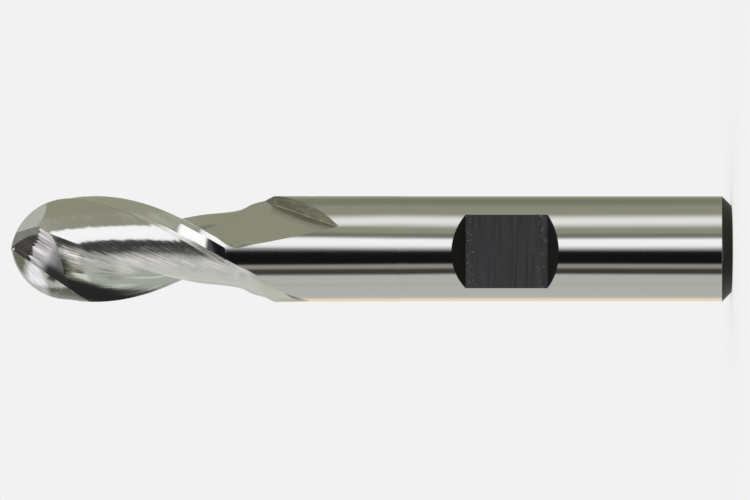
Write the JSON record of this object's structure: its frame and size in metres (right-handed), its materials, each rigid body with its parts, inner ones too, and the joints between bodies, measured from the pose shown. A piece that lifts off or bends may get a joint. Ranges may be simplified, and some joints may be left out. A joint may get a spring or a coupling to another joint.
{
  "type": "ball nose end mill",
  "caption": "Straight-shank milling cutter with helical flutes, a hemispherical cutting nose and a flat on the shank for a clamping screw.",
  "frame": {"origin": "centre of the shank's end face", "axes": "+Z along the tool's axis towards the ball nose, -Y out of the clamping flat"},
  "size_m": [0.0096, 0.0096, 0.0651],
  "materials": {
    "ground_steel": "ground high-speed steel, with a blackened clamping flat and shank end"
  },
  "bodies": {
    "root": {"ball_nose_end_mill": "ground_steel"}
  },
  "joints": []
}
